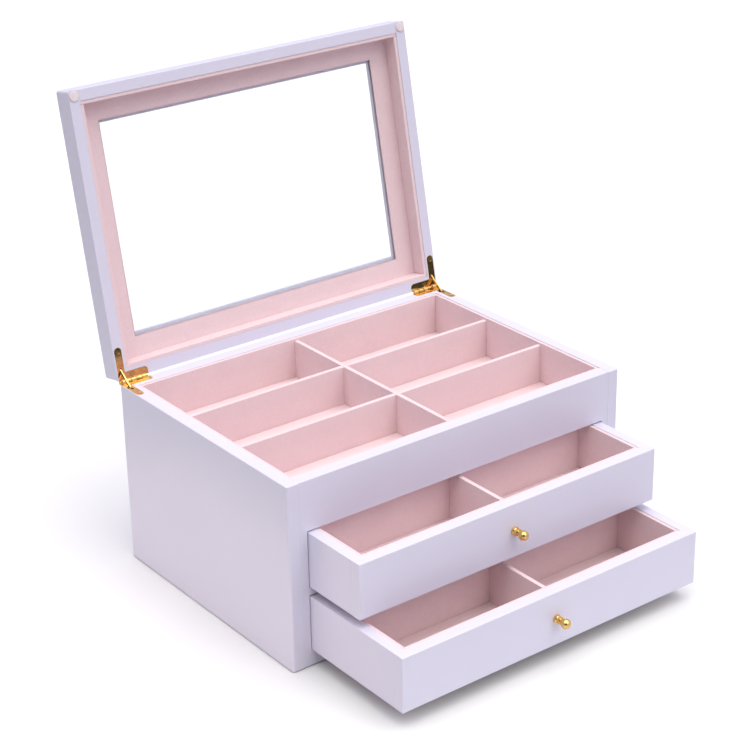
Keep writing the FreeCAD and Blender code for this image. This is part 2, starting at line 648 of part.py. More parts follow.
def make_lid():
    wall_height = "(lid_height - lid_top)"
    front_y = f"(-{HALF_DEPTH} - lid_front_overhang)"
    for side, sign in SIDES.items():
        rail = block(f"lid_{side}_rail", f"({sign} * ({LID_WIDTH} - lid_wall) / 2)", LID_MIDDLE,
                     LID_RIM, "lid_wall", LID_DEPTH, wall_height)
        outer_x = sign * (SIZES["box_width"] / 2 + SIZES["lid_overhang"])
        ends = (-SIZES["box_depth"] / 2 - SIZES["lid_front_overhang"], SIZES["box_depth"] / 2)
        for end in ends:
            round_edges(rail, "corner_radius", upright_at(outer_x, end))
        leaf_outline(rail, "Subtractive", sign, LID_RIM)
        drill(rail, screw_places(sign)[0], LID_RIM, UPWARDS)
        stay_slot(rail, sign, "(stay_slot_width + 0.4)", "lid_slot_near", "lid_slot_far",
                  LID_RIM, "lid_slot_depth")
        stay_pin_shape(rail, "Subtractive", sign)
        ride_lid(rail)

    front = block("lid_front_rail", "0", f"({front_y} + lid_wall / 2)", LID_RIM,
                  LID_INNER_WIDTH, "lid_wall", wall_height)
    ride_lid(front)
    back = block("lid_back_rail", "0", f"({HALF_DEPTH} - lid_wall / 2)", LID_RIM,
                 LID_INNER_WIDTH, "lid_wall", wall_height)
    for sign in SIDES.values():
        leaf_outline(back, "Subtractive", sign, LID_RIM)
        drill(back, screw_places(sign)[1], LID_RIM, UPWARDS)
    ride_lid(back)

    top = new_body("lid_top_panel")
    sketch = sketch_on(top, "XY_Plane", LID_TOP)
    draw_rectangle(sketch, "0", LID_MIDDLE, LID_WIDTH, LID_DEPTH)
    draw_rectangle(sketch, "0", LID_MIDDLE, "window_width", "window_depth")
    pad(top, sketch, "lid_top")
    half_width = SIZES["box_width"] / 2 + SIZES["lid_overhang"]
    front_edge = -SIZES["box_depth"] / 2 - SIZES["lid_front_overhang"]
    back_edge = SIZES["box_depth"] / 2
    for x in (-half_width, half_width):
        for y in (front_edge, back_edge):
            round_edges(top, "corner_radius", upright_at(x, y))
    level = sum(SIZES[name] for name in ("felt_thickness", "box_height", "rim_gap", "lid_height"))
    inner = SIZES["corner_radius"]
    round_edges(top, "lid_round", at_level(
        level, lambda place: abs(place.x) > half_width - inner or place.y < front_edge + inner
        or place.y > back_edge - inner))
    glass_width = "(window_width + 2 * glass_lap)"
    glass_depth = "(window_depth + 2 * glass_lap)"
    add_block(top, "Subtractive", "0", LID_MIDDLE, LID_TOP, glass_width, glass_depth,
              "glass_thickness")
    ride_lid(top)
    ride_lid(block("lid_glass", "0", LID_MIDDLE, LID_TOP, glass_width, glass_depth,
                   "glass_thickness"))

    mat = new_body("lid_lining_mat")
    sketch = sketch_on(mat, "XY_Plane", f"{LID_TOP} - mat_thickness")
    draw_rectangle(sketch, "0", LID_MIDDLE, LID_INNER_WIDTH, LID_INNER_DEPTH)
    draw_rectangle(sketch, "0", LID_MIDDLE, "window_width", "(window_depth + 2 * mat_reveal)")
    pad(mat, sketch, "mat_thickness")
    ride_lid(mat)
    boards = wall_linings("lid", LID_MIDDLE, LID_INNER_WIDTH, LID_INNER_DEPTH,
                          f"({LID_RIM} + lining_drop)",
                          f"({wall_height} - mat_thickness - lining_drop)", "lid_lining")
    ride_lid(group("lid_wall_linings", list(boards.values())))

    bumpers = []
    for side, sign in SIDES.items():
        bumper = new_body(f"{side}_bumper")
        place = (f"{sign} * ({LID_WIDTH} - lid_wall) / 2", f"{front_y} + lid_wall / 2",
                 f"{LID_RIM} - bumper_height")
        add(bumper, "AdditiveCylinder", place, Radius="bumper_radius", Height="bumper_height")
        bumpers.append(bumper)
    ride_lid(group("lid_bumpers", bumpers))


# ---------------------------------------------------------------- the hinges

def make_hinges():
    for side, sign in SIDES.items():
        node(leaf(f"{side}_hinge_case_leaf", sign, RIM, UNTURNED, (0, 2, 4)))
        ride_lid(leaf(f"{side}_hinge_lid_leaf", sign, LID_RIM, UPWARDS, (1, 3)))
        pin = new_body(f"{side}_hinge_pin")
        barrel_shape(pin, "Additive", sign, "pin_radius")
        node(pin)
    node(screws("case_hinge_screws", RIM, UNTURNED))
    ride_lid(screws("lid_hinge_screws", LID_RIM, UPWARDS))

    rivets = []
    for side, sign in SIDES.items():
        rivet = new_body(f"{side}_stay_pin")
        stay_pin_shape(rivet, "Additive", sign)
        rivets.append(rivet)
    ride_lid(group("stay_pins", rivets))

    for side, sign in SIDES.items():
        node(stay(f"{side}_stay", sign))


def stay(label, sign):
    """A flat link, drawn forwards from its pivot and turned down into the case's slot."""
    body = new_body(label)
    edge = "-stay_thickness / 2"
    for place in ("0", "-stay_length"):
        add(body, "AdditiveCylinder", (edge, place, "0"), ALONG_X,
            Radius="stay_width / 2", Height="stay_thickness")
    add_block(body, "Additive", "0", "(-stay_length / 2)", "-stay_width / 2",
              "stay_thickness", "stay_length", "stay_width")
    add(body, "SubtractiveCylinder", (edge, "0", "0"), ALONG_X,
        Radius="stay_bore_radius", Height="stay_thickness")
    body.Placement = Placement(Vector(), Rotation(Vector(1, 0, 0), SIZES["stay_angle"]))
    bind(body, ".Placement.Rotation.Angle", "stay_angle")
    bind_base(body, f"{sign} * {ARM_X}",
              f"{AXIS_Y} - stay_pivot_reach * cos(lid_angle) + stay_pivot_rise * sin(lid_angle)",
              f"{AXIS_Z} + stay_pivot_reach * sin(lid_angle) + stay_pivot_rise * cos(lid_angle)")
    return body


# ---------------------------------------------------------------- build, check and write

def check():
    """Stop on anything that failed to build, before a file is written."""
    for item in DOC.Objects:
        if "Invalid" in item.State or "Error" in item.State:
            raise RuntimeError(f"{item.Label} failed: {item.State}")
    for item in NODES:
        if item.Shape.isNull() or not item.Shape.isValid() or item.Shape.Volume <= 0:
            raise RuntimeError(f"{item.Label} has no valid shape")


def main():
    fill_sheet()
    make_case()
    make_tray()
    make_drawer("upper", UPPER_BAY)
    make_drawer("lower", LOWER_BAY)
    make_lid()
    make_hinges()
    DOC.recompute()
    check()
    os.makedirs("parts", exist_ok=True)
    for item in NODES:
        item.Shape.exportStep(f"parts/{item.Label}.step")


main()
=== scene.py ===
"""A lacquered wooden jewelry box with a divided tray, a glass-topped lid and two lined drawers.

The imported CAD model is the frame. This script covers its plain lining boards with soft velvet ones,
gives every surface its finish, and sets the studio and the camera. Lengths are in metres.
"""
import json
import math

import bmesh
import bpy
from mathutils import Matrix, Vector, noise


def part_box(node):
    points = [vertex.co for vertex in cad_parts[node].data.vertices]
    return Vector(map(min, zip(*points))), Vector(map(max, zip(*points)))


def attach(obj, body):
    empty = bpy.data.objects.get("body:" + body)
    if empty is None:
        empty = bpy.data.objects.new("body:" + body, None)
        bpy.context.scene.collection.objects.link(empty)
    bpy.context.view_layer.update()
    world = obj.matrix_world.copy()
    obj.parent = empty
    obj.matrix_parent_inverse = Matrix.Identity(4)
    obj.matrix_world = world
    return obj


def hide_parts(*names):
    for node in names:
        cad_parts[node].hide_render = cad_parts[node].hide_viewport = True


MM = 0.001

# Velvet boards: the radius of their edges, and how far the joints between them stand open.
BOARD_ROUND = 0.45 * MM
TRAY_FLOOR_ROUND = 0.8 * MM
JOINT_GAP = 0.12 * MM

# Their points: the spacing between the round edges, and the places on an edge as shares of its radius.
BOARD_STEP = 5 * MM
EDGE_SHARES = (0.0, 0.1, 0.3, 0.6)

# Their padding: how far it stands proud, and how flat its crown is (a higher power is flatter).
CROWN = 0.22 * MM
BOARD_CROWN_POWER = 8
MAT_CROWN_POWER = 4

# The cloth's ruffle: its height, and its coarse and fine waves to the metre.
RUFFLE = 0.05 * MM
COARSE_RUFFLE = 45.0
FINE_RUFFLE = 160.0

# A section through the lid's mat: the angles round each edge, and the shares of its width between.
MAT_EDGE_ANGLES = (0, 30, 60, 90)
MAT_SHARES = (0.1, 0.3, 0.5, 0.7, 0.9)

# A felt dot: its rings as (share of the radius, share of the height), and the points round each.
DOT_TOP = 1.02
DOT_RINGS = ((0.35, 1.02), (0.7, 1.0), (0.88, 0.96), (0.97, 0.8), (1.0, 0.5), (1.0, 0.0))
DOT_AROUND = 40
DOT_FUZZ = 0.02

# Edges of the CAD pieces: how wide each finish is bevelled, and the angles that count as flat and sharp.
BEVELS = {
    "white_lacquer": 0.35 * MM,
    "plain_board": 0.35 * MM,
    "window_glass": 0.35 * MM,
    "polished_brass": 0.12 * MM,
    "plated_steel": 0.12 * MM,
}
BEVEL_SEGMENTS = 3
FLAT_ANGLE = math.radians(0.5)
SHADE_ANGLE = math.radians(30)
BEVEL_ANGLE = math.radians(40)
WELD_DISTANCE = 1e-6

# How far the lid's pane lies under its mat, at the sides and at the front and back.
GLASS_LAP_ACROSS = 4 * MM
GLASS_LAP_DEEP = 1.6 * MM

# Camera: place, direction and turn about its own axis in degrees, lens and sensor in millimetres.
CAMERA_AT = (-0.9095, -1.2124, 0.8490)
CAMERA_AZIMUTH = -37.03
CAMERA_ELEVATION = 24.34
CAMERA_ROLL = -1.09
CAMERA_LENS = 96.14
CAMERA_SENSOR = 36.0
CAMERA_NEAR = 0.05

# Sky: the way towards the overhead softbox and the sky's colours by how near they lie to it, the way
# in which the sky brightens and by how much, and the dark room by how near it lies to the camera.
SOFTBOX_WAY = (-0.08, -0.32, 0.94)
SKY_STOPS = ((0.0, 0.160, 0.155, 0.194), (0.70, 0.268, 0.265, 0.308), (0.88, 0.85, 0.832, 0.810))
DIM_WAY = (1.0, -0.5, 1.1)
DIM_STOPS = ((0.0, 0.23, 0.23, 0.26), (0.6, 1.0, 1.0, 1.0))
ROOM_STOPS = ((0.88, 1.0, 1.0, 1.0), (0.95, 0.04, 0.04, 0.04))
SKY_STRENGTH = 3.75

# A low lamp beside the case's left wall: place, point lit, width, height, watts and colour.
LOW_LAMP_AT = (-0.27, 0.0, 0.01)
LOW_LAMP_TARGET = (-0.17, 0.0, 0.02)
LOW_LAMP_WIDTH = 0.5
LOW_LAMP_HEIGHT = 0.02
LOW_LAMP_WATTS = 0.06
LOW_LAMP_COLOUR = (1.0, 0.74, 0.55)

# Floor and the table top under it: half their width, how far the table lies lower, the table's tone by
# the distance from the box, a painted pool of light that dims further out, and where its front edge fades
# into a painted dark room.
SHEET_HALF = 12.0
TABLE_DROP = 0.5 * MM
TABLE_PAINTED_LIGHT_POOL_TONES = ((0.30, 0.66, 0.66, 0.66), (0.90, 0.42, 0.42, 0.42))
TABLE_PAINTED_DARK_SPAN = (1.0, 1.2)
TABLE_PAINTED_DARK_ROOM_TONES = ((0.0, 1.0, 1.0, 1.0), (1.0, 0.03, 0.03, 0.03))

DRAWERS = ("upper", "lower")

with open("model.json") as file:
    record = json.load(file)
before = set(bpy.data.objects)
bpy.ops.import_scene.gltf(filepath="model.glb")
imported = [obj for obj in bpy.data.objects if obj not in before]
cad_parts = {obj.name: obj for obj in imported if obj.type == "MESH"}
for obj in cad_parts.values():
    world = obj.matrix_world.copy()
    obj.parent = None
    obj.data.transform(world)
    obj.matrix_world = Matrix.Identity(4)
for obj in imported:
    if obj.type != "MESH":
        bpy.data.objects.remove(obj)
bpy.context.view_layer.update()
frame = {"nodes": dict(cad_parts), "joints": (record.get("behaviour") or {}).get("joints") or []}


# ---------------------------------------------------------------- shader helpers

def new_material(name):
    """An empty material with one Principled shader: the material, its node tree and the shader."""
    material = bpy.data.materials.new(name)
    material.use_nodes = True
    tree = material.node_tree
    return material, tree, tree.nodes["Principled BSDF"]


def add_node(tree, kind, inputs=None, **settings):
    """A node with its settings, and its sockets either linked or set."""
    node = tree.nodes.new(kind)
    for name, value in settings.items():
        setattr(node, name, value)
    for socket, value in (inputs or {}).items():
        if isinstance(value, bpy.types.NodeSocket):
            tree.links.new(value, node.inputs[socket])
        else:
            node.inputs[socket].default_value = value
    return node


def object_place(tree):
    """Where a point lies on its piece, in metres."""
    return add_node(tree, "ShaderNodeTexCoord").outputs["Object"]


def noise_at(tree, place, scale, detail=2.0, roughness=0.5):
    """Smooth noise from 0 to 1 with about scale bumps to the metre."""
    inputs = {"Vector": place, "Scale": scale, "Detail": detail, "Roughness": roughness}
    return add_node(tree, "ShaderNodeTexNoise", inputs).outputs["Fac"]


def between(tree, value, low, high, start=0.3, end=0.7):
    """value's span from start to end, spread from low to high."""
    inputs = {"Value": value, "From Min": start, "From Max": end, "To Min": low, "To Max": high}
    return add_node(tree, "ShaderNodeMapRange", inputs).outputs["Result"]


def colours_by(tree, value, *stops):
    """A colour ramp: each stop is (place, red, green, blue)."""
    ramp = add_node(tree, "ShaderNodeValToRGB", {"Fac": value})
    elements = ramp.color_ramp.elements
    while len(elements) < len(stops):
        elements.new(1.0)
    for element, (place, *colour) in zip(elements, stops):
        element.position = place
        element.color = (*colour, 1.0)
    return ramp.outputs["Color"]


def product(tree, first, second):
    """Two colours multiplied."""
    mix = add_node(tree, "ShaderNodeMix", data_type="RGBA", blend_type="MULTIPLY")
    mix.inputs[0].default_value = 1.0
    tree.links.new(first, mix.inputs[6])
    tree.links.new(second, mix.inputs[7])
    return mix.outputs[2]


def along(tree, direction, way):
    """How far a direction points along a way."""
    return add_node(tree, "ShaderNodeVectorMath", {0: direction, 1: way},
                    operation="DOT_PRODUCT").outputs["Value"]


def add_bump(tree, shader, *layers):
    """Relief on the shader's normal: each layer is (height, distance in metres, strength)."""
    normal = None
    for height, distance, strength in layers:
        inputs = {"Height": height, "Distance": distance, "Strength": strength}
        if normal is not None:
            inputs["Normal"] = normal
        normal = add_node(tree, "ShaderNodeBump", inputs).outputs["Normal"]
    tree.links.new(normal, shader.inputs["Normal"])


def set_inputs(shader, **values):
    """The shader's own sockets, named with underscores for spaces."""
    for name, value in values.items():
        shader.inputs[name.replace("_", " ")].default_value = value


# ---------------------------------------------------------------- materials

def lacquer():
    """White lacquer with a lilac cast: satin, with a faint orange peel and a cloudy tone."""
    material, tree, shader = new_material("white_lacquer")
    place = object_place(tree)
    cloud = noise_at(tree, place, 9.0, 3.0)
    tone = colours_by(tree, cloud, (0.3, 0.672, 0.652, 0.764), (0.7, 0.686, 0.666, 0.780))
    speck = noise_at(tree, place, 900.0, 2.0)
    specks = colours_by(tree, speck, (0.30, 0.985, 0.985, 0.985), (0.45, 1.0, 1.0, 1.0))
    tree.links.new(product(tree, tone, specks), shader.inputs["Base Color"])
    rubbed = noise_at(tree, place, 35.0, 4.0)
    tree.links.new(between(tree, rubbed, 0.34, 0.44), shader.inputs["Roughness"])
    set_inputs(shader, IOR=1.48, Coat_Weight=0.25, Coat_Roughness=0.22)
    peel = noise_at(tree, place, 260.0, 2.0)
    dust = noise_at(tree, place, 1500.0, 1.0)
    add_bump(tree, shader, (peel, 0.00006, 0.5), (dust, 0.00001, 0.4))
    return material


def board():
    """Bare painted board inside the case: matt, with pressed fibres."""
    material, tree, shader = new_material("plain_board")
    place = object_place(tree)
    stretched = add_node(tree, "ShaderNodeMapping", {"Vector": place, "Scale": (1.0, 6.0, 6.0)})
    fibre = noise_at(tree, stretched.outputs["Vector"], 180.0, 6.0, 0.65)
    tone = colours_by(tree, fibre, (0.25, 0.60, 0.53, 0.46), (0.75, 0.78, 0.73, 0.67))
    tree.links.new(tone, shader.inputs["Base Color"])
    tree.links.new(between(tree, fibre, 0.7, 0.9), shader.inputs["Roughness"])
    add_bump(tree, shader, (fibre, 0.0001, 0.5))
    return material


def velvet(name, dark, light, pile, sheen):
    """Short-pile cloth: brushed patches, a mottled nap and single fibres, with a sheen at its edges."""
    material, tree, shader = new_material(name)
    place = object_place(tree)
    brushed = noise_at(tree, place, 45.0, 3.0, 0.55)
    nap = noise_at(tree, place, 420.0, 3.0, 0.6)
    fibres = noise_at(tree, place, 2600.0, 2.0, 0.7)
    tone = colours_by(tree, brushed, (0.25, *dark), (0.75, *light))
    mottle = colours_by(tree, nap, (0.30, 0.955, 0.945, 0.945), (0.70, 1.0, 1.0, 1.0))
    speckle = colours_by(tree, fibres, (0.2, 0.93, 0.92, 0.92), (0.6, 1.0, 1.0, 1.0))
    tree.links.new(product(tree, product(tree, tone, mottle), speckle), shader.inputs["Base Color"])
    tree.links.new(between(tree, nap, 0.85, 1.0), shader.inputs["Roughness"])
    set_inputs(shader, Specular_IOR_Level=0.15, Sheen_Weight=sheen, Sheen_Roughness=0.45,
               Sheen_Tint=(1.0, 0.90, 0.91, 1.0))
    add_bump(tree, shader, (brushed, 0.0003, 0.35), (nap, 0.00015, 0.5), (fibres, pile, 0.8))
    return material


def brass():
    """Polished brass plate: fine rubbing marks, and a browner tone where it is less rubbed."""
    material, tree, shader = new_material("polished_brass")
    place = object_place(tree)
    tarnish = noise_at(tree, place, 220.0, 4.0, 0.6)
    tone = colours_by(tree, tarnish, (0.25, 0.66, 0.40, 0.13), (0.6, 0.86, 0.58, 0.22))
    tree.links.new(tone, shader.inputs["Base Color"])
    stretched = add_node(tree, "ShaderNodeMapping", {"Vector": place, "Scale": (1.0, 9.0, 9.0)})
    marks = noise_at(tree, stretched.outputs["Vector"], 900.0, 3.0)
    tree.links.new(between(tree, marks, 0.04, 0.11), shader.inputs["Roughness"])
    set_inputs(shader, Metallic=1.0)
    add_bump(tree, shader, (tarnish, 0.00008, 0.25), (marks, 0.00001, 0.3))
    return material


def steel():
    """Zinc-plated steel of the screws behind the knobs."""
    material, tree, shader = new_material("plated_steel")
    place = object_place(tree)
    grain = noise_at(tree, place, 1400.0, 3.0, 0.6)
    tone = colours_by(tree, grain, (0.3, 0.50, 0.51, 0.52), (0.7, 0.66, 0.66, 0.64))
    tree.links.new(tone, shader.inputs["Base Color"])
    tree.links.new(between(tree, grain, 0.24, 0.40), shader.inputs["Roughness"])
    set_inputs(shader, Metallic=1.0)
    add_bump(tree, shader, (grain, 0.00001, 0.5))
    return material


def glass():
    """A clear pane: seen straight through, with a reflection that grows towards grazing angles."""
    material, tree, shader = new_material("window_glass")
    smear = noise_at(tree, object_place(tree), 14.0, 4.0, 0.6)
    tree.links.new(between(tree, smear, 0.01, 0.05), shader.inputs["Roughness"])
    set_inputs(shader, Base_Color=(0.98, 1.0, 0.995, 1.0), IOR=1.50)
    through = add_node(tree, "ShaderNodeBsdfTransparent", {"Color": (0.985, 0.995, 0.99, 1.0)})
    facing = add_node(tree, "ShaderNodeLayerWeight", {"Blend": 0.5}).outputs["Facing"]
    mirror = add_node(tree, "ShaderNodeMath", {0: facing, 1: 4.0}, operation="POWER").outputs[0]
    mix = add_node(tree, "ShaderNodeMixShader", {0: between(tree, mirror, 0.03, 0.5, 0.0, 1.0),
                                                 1: through.outputs["BSDF"],
                                                 2: shader.outputs["BSDF"]})
    tree.links.new(mix.outputs["Shader"], tree.nodes["Material Output"].inputs["Surface"])
    return material


def studio_floor():
    """Matt white floor, lightly mottled."""
    material, tree, shader = new_material("studio_floor")
    mottle = noise_at(tree, object_place(tree), 6.0, 3.0)
    tone = colours_by(tree, mottle, (0.3, 0.78, 0.78, 0.78), (0.7, 0.80, 0.80, 0.80))
    tree.links.new(tone, shader.inputs["Base Color"])
    set_inputs(shader, Roughness=0.9, Specular_IOR_Level=0.1)
    return material


def painted_light_table():
    """Painted light: white near the box and painted dimmer further out as a pool of light, with a painted
    dark room past the table's front edge.
    """
    material, tree, shader = new_material("painted_light_table")
    place = object_place(tree)
    distance = add_node(tree, "ShaderNodeVectorMath", {0: place}, operation="LENGTH").outputs["Value"]
    # Painted light: the tone falls with the distance from the box, a painted pool of light rather than
    # the table's own colour.
    tone = colours_by(tree, distance, *TABLE_PAINTED_LIGHT_POOL_TONES)
    # Painted shade: past its front edge the table is painted nearly black as the dark room, which the
    # brass and lacquer reflect.
    forwards = along(tree, place, (0.0, -1.0, 0.0))
    painted_dark_room_fade = colours_by(tree, between(tree, forwards, 0.0, 1.0, *TABLE_PAINTED_DARK_SPAN), *TABLE_PAINTED_DARK_ROOM_TONES)
    tree.links.new(product(tree, tone, painted_dark_room_fade), shader.inputs["Base Color"])
    set_inputs(shader, Roughness=0.9, Specular_IOR_Level=0.1)
    return material


FINISHES = {
    "white_lacquer": lacquer(),
    "plain_board": board(),
    "pink_velvet": velvet("pink_velvet", (0.800, 0.628, 0.645), (0.826, 0.662, 0.678), 0.00012, 0.30),
    "pink_felt": velvet("pink_felt", (0.80, 0.70, 0.72), (0.86, 0.76, 0.78), 0.00020, 0.25),
    "pale_felt": velvet("pale_felt", (0.42, 0.40, 0.40), (0.52, 0.50, 0.50), 0.00020, 0.15),
    "polished_brass": brass(),
    "plated_steel": steel(),
    "window_glass": glass(),
}


# ---------------------------------------------------------------- edges of the CAD pieces

def weld_and_smooth():
    """Node group that joins a mesh's split corners, and shades it smooth between its sharp edges."""
    tree = bpy.data.node_groups.new("weld_and_smooth", "GeometryNodeTree")
    for direction in ("INPUT", "OUTPUT"):
        tree.interface.new_socket("Geometry", in_out=direction, socket_type="NodeSocketGeometry")
    start = add_node(tree, "NodeGroupInput").outputs["Geometry"]
    welded = add_node(tree, "GeometryNodeMergeByDistance",
                      {"Geometry": start, "Distance": WELD_DISTANCE})
    faces = add_node(tree, "GeometryNodeSetShadeSmooth",
                     {"Geometry": welded.outputs["Geometry"], "Shade Smooth": True}, domain="FACE")
    angle = add_node(tree, "GeometryNodeInputMeshEdgeAngle").outputs["Unsigned Angle"]
    sharp = add_node(tree, "FunctionNodeCompare", {0: angle, 1: SHADE_ANGLE},
                     operation="GREATER_THAN").outputs["Result"]
    edges = add_node(tree, "GeometryNodeSetShadeSmooth",
                     {"Geometry": faces.outputs["Geometry"], "Selection": sharp,
                      "Shade Smooth": False}, domain="EDGE")
    add_node(tree, "NodeGroupOutput", {"Geometry": edges.outputs["Geometry"]})
    return tree


def ease_edges(piece, group, width):
    """Takes the knife edge off a CAD piece."""
    piece.modifiers.new("weld", "NODES").node_group = group
    flat = piece.modifiers.new("flat_faces", "DECIMATE")
    flat.decimate_type = "DISSOLVE"
    flat.angle_limit = FLAT_ANGLE
    bevel = piece.modifiers.new("eased_edges", "BEVEL")
    bevel.width = width
    bevel.segments = BEVEL_SEGMENTS
    bevel.limit_method = "ANGLE"
    bevel.angle_limit = BEVEL_ANGLE
    bevel.harden_normals = True
    piece.modifiers.new("normals", "WEIGHTED_NORMAL").keep_sharp = True


def finish_cad_nodes():
    """Every CAD piece gets its finish, and those of wood, metal and glass get eased edges."""
    group = weld_and_smooth()
    for piece in frame["nodes"].values():
        finish = piece.material_slots[0].material.name.split(".")[0]
        for slot in piece.material_slots:
            slot.material = FINISHES[finish]
        if finish in BEVELS:
            ease_edges(piece, group, BEVELS[finish])


# ---------------------------------------------------------------- soft boards

def lid_turn():
    """The matrix that takes a point of the closed lid to where it is at rest."""
    hinge = next(joint for joint in frame["joints"] if joint["name"] == "lid_hinge")
    pivot = Vector(hinge["pos_m"])
    angle = math.radians(max(hinge["range_deg"]))
    return (Matrix.Translation(pivot) @ Matrix.Rotation(-angle, 4, hinge["axis"])
            @ Matrix.Translation(-pivot))


def solids(node, turn=Matrix.Identity(4)):
    """(low, high) of each separate solid of a CAD node, seen before turn was made."""
    mesh = bmesh.new()
    mesh.from_mesh(frame["nodes"][node].data)
    bmesh.ops.remove_doubles(mesh, verts=mesh.verts, dist=WELD_DISTANCE)
    mesh.transform(turn.inverted())
    left = set(mesh.verts)
    boxes = []
    while left:
        island = set()
        border = [left.pop()]
        while border:
            vertex = border.pop()
            island.add(vertex)
            for edge in vertex.link_edges:
                other = edge.other_vert(vertex)
                if other in left:
                    left.remove(other)
                    border.append(other)
        low = Vector(min(vertex.co[axis] for vertex in island) for axis in range(3))
        high = Vector(max(vertex.co[axis] for vertex in island) for axis in range(3))
        boxes.append((low, high))
    mesh.free()
    return sorted(boxes, key=lambda box: tuple(box[0]))


def four_walls(node, turn=Matrix.Identity(4)):
    """(low, high) of a space's four lining boards: the side ones fit between the front and the back."""
    points = [turn.inverted() @ vertex.co for vertex in frame["nodes"][node].data.vertices]
    xs, ys, zs = (sorted({round(point[axis], 5) for point in points}) for axis in range(3))
    low, high = Vector((xs[0], ys[0], zs[0])), Vector((xs[-1], ys[-1], zs[-1]))
    thickness = xs[1] - xs[0]
    front = (low, Vector((high.x, low.y + thickness, high.z)))
    back = (Vector((low.x, high.y - thickness, low.z)), high)
    left = (Vector((low.x, low.y + thickness, low.z)),
            Vector((low.x + thickness, high.y - thickness, high.z)))
    right = (Vector((high.x - thickness, low.y + thickness, low.z)),
             Vector((high.x, high.y - thickness, high.z)))
    return [front, back, left, right]


def places_along(low, high, radius):
    """Places from low to high: close together within radius of each end, evenly spread between."""
    near = [radius * share for share in EDGE_SHARES]
    length = high - low - 2 * radius
    count = max(2, round(length / BOARD_STEP))
    middle = [low + radius + length * index / count for index in range(count + 1)]
    return [low + place for place in near] + middle + [high - place for place in reversed(near)]


def rounded(point, low, high, radius):
    """A point of a box's surface, moved in to where the box's edges are round."""
    core = Vector(min(max(value, a + radius), b - radius) for value, a, b in zip(point, low, high))
    outwards = point - core
    return core + outwards.normalized() * radius


def thin_axis(low, high):
    """The number of the axis along which a board is thinnest."""
    size = high - low
    return min(range(3), key=lambda axis: size[axis])


def swollen(point, low, high, shows):
    """A point of a board, pushed out by the padding on each side that shows, and ruffled by the cloth."""
    thin = thin_axis(low, high)
    share = 1.0
    for axis in range(3):
        if axis != thin:
            reach = (point[axis] - low[axis]) / (high[axis] - low[axis])
            share *= max(0.0, 1.0 - (2.0 * reach - 1.0) ** BOARD_CROWN_POWER)
    side = 1.0 if point[thin] > (low[thin] + high[thin]) / 2 else -1.0
    coarse = noise.noise(point * COARSE_RUFFLE)
    fine = noise.noise(point * FINE_RUFFLE)
    ruffle = RUFFLE * coarse + 0.5 * RUFFLE * fine
    proud = (CROWN + ruffle) * share if side in shows else 0.0
    moved = point.copy()
    moved[thin] += side * proud
    return moved


def soft_board(low, high, radius, shows=(-1.0, 1.0)):
    """Points and faces of a cloth-covered board, shows being the sides that are padded."""
    places = [places_along(a, b, radius) for a, b in zip(low, high)]
    last = [len(values) - 1 for values in places]
    numbers = {}
    faces = []
    for fixed in range(3):
        across, up = (fixed + 1) % 3, (fixed + 2) % 3
        for end in (0, last[fixed]):
            for i in range(last[across]):
                for j in range(last[up]):
                    face = []
                    for step_i, step_j in ((0, 0), (1, 0), (1, 1), (0, 1)):
                        key = [0, 0, 0]
                        key[fixed], key[across], key[up] = end, i + step_i, j + step_j
                        face.append(numbers.setdefault(tuple(key), len(numbers)))
                    faces.append(face if end else face[::-1])
    points = []
    for key in numbers:
        point = Vector(places[axis][key[axis]] for axis in range(3))
        points.append(swollen(rounded(point, low, high, radius), low, high, shows))
    return points, faces


def ring_board(low, high, lap_low, lap_high, radius, shows_side):
    """Points and faces of a flat cloth-covered frame from low to high, open from lap_low to lap_high."""
    outer = (low.x, high.x, low.y, high.y)
    inner = (lap_low.x, lap_high.x, lap_low.y, lap_high.y)
    bend = [math.radians(angle) for angle in MAT_EDGE_ANGLES]
    rows = []
    for angle in bend:
        rows.append((0.0, radius * (1 - math.sin(angle)), radius * (1 - math.cos(angle))))
    for share in MAT_SHARES:
        rows.append((share, 0.0, 0.0))
    for angle in reversed(bend):
        rows.append((1.0, -radius * (1 - math.sin(angle)), radius * (1 - math.cos(angle))))
    face_z, back_z = (low.z, high.z) if shows_side < 0 else (high.z, low.z)
    loops = []
    for share, inset, drop in rows:
        swell = CROWN * (1.0 - (2.0 * share - 1.0) ** MAT_CROWN_POWER)
        edge = [a + (b - a) * share for a, b in zip(outer, inner)]
        edge = [edge[0] + inset, edge[1] - inset, edge[2] + inset, edge[3] - inset]
        loops.append((edge, face_z + shows_side * (swell - drop)))
    loops.append((list(inner), back_z))
    loops.append((list(outer), back_z))

    counts = [max(2, round((outer[1] - outer[0]) / BOARD_STEP)),
              max(2, round((outer[3] - outer[2]) / BOARD_STEP))]
    points = []
    for (x0, x1, y0, y1), z in loops:
        corners = [Vector((x0, y0, z)), Vector((x1, y0, z)), Vector((x1, y1, z)), Vector((x0, y1, z))]
        for index, corner in enumerate(corners):
            count = counts[index % 2]
            for step in range(count):
                point = corner.lerp(corners[(index + 1) % 4], step / count)
                point.z += shows_side * RUFFLE * noise.noise(point * COARSE_RUFFLE)
                points.append(point)
    around = 2 * sum(counts)
    faces = []
    for row in range(len(loops)):
        for step in range(around):
            next_row, next_step = (row + 1) % len(loops), (step + 1) % around
            face = [row * around + step, row * around + next_step,
                    next_row * around + next_step, next_row * around + step]
            faces.append(face if shows_side > 0 else face[::-1])
    return points, faces


